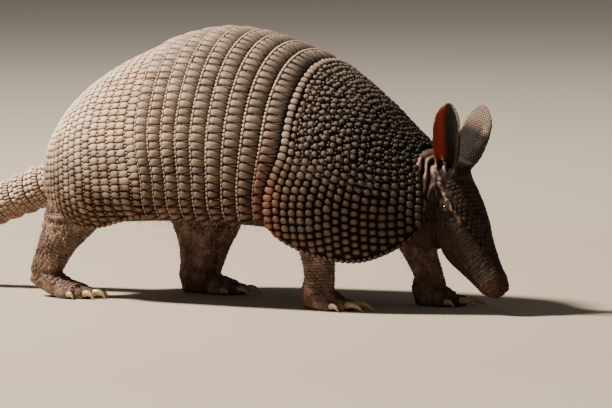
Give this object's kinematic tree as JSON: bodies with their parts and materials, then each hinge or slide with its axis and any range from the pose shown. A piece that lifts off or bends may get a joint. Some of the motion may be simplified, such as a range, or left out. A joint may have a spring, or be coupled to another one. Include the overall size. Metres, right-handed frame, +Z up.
{
  "type": "armadillo figure",
  "caption": "Life-size still model of a nine-banded armadillo walking with its head down to the ground, with banded shell, ringed tail and bare ears.",
  "frame": {"origin": "middle of the whole animal's length and of the shell's width, on the floor under the feet", "axes": "+X towards the nose, +Y to the animal's left, +Z up"},
  "size_m": [0.6805, 0.1606, 0.2051],
  "materials": {
    "shell": "horn-covered bony scutes, brown-grey, satin",
    "rump": "horn-covered bony scutes, pale greyish beige, satin",
    "tail": "ringed scutes, cream pink, satin",
    "skin": "bare wrinkled skin, pinkish brown, matt",
    "leg": "scaly wrinkled skin, pinkish grey-brown, matt",
    "ear": "thin bare skin, dark brown, matt",
    "nose": "bare pink-brown nose skin, slightly moist",
    "claw": "pale horn, half gloss",
    "eye": "near-black, wet gloss"
  },
  "bodies": {
    "root": {"band_1": "shell", "band_2": "shell", "band_3": "shell", "band_4": "shell", "band_5": "shell", "band_6": "shell", "band_7": "shell", "band_8": "shell", "band_9": "shell", "claw_fore_left_1": "claw", "claw_fore_left_2": "claw", "claw_fore_left_3": "claw", "claw_fore_left_4": "claw", "claw_fore_right_1": "claw", "claw_fore_right_2": "claw", "claw_fore_right_3": "claw", "claw_fore_right_4": "claw", "claw_hind_left_1": "claw", "claw_hind_left_2": "claw", "claw_hind_left_3": "claw", "claw_hind_left_4": "claw", "claw_hind_left_5": "claw", "claw_hind_right_1": "claw", "claw_hind_right_2": "claw", "claw_hind_right_3": "claw", "claw_hind_right_4": "claw", "claw_hind_right_5": "claw", "ear_left": "ear", "ear_right": "ear", "eye_left": "eye", "eye_right": "eye", "foot_fore_left": "leg", "foot_fore_right": "leg", "foot_hind_left": "leg", "foot_hind_right": "leg", "head": "skin", "head_shield": "shell", "leg_fore_left": "leg", "leg_fore_right": "leg", "leg_hind_left": "leg", "leg_hind_right": "leg", "lower_jaw": "skin", "neck": "skin", "nose": "nose", "pelvic_shield": "rump", "scapular_shield": "shell", "tail_ring_1": "tail", "tail_ring_10": "tail", "tail_ring_11": "tail", "tail_ring_2": "tail", "tail_ring_3": "tail", "tail_ring_4": "tail", "tail_ring_5": "tail", "tail_ring_6": "tail", "tail_ring_7": "tail", "tail_ring_8": "tail", "tail_ring_9": "tail", "tail_tip": "tail", "trunk": "skin"}
  },
  "joints": []
}
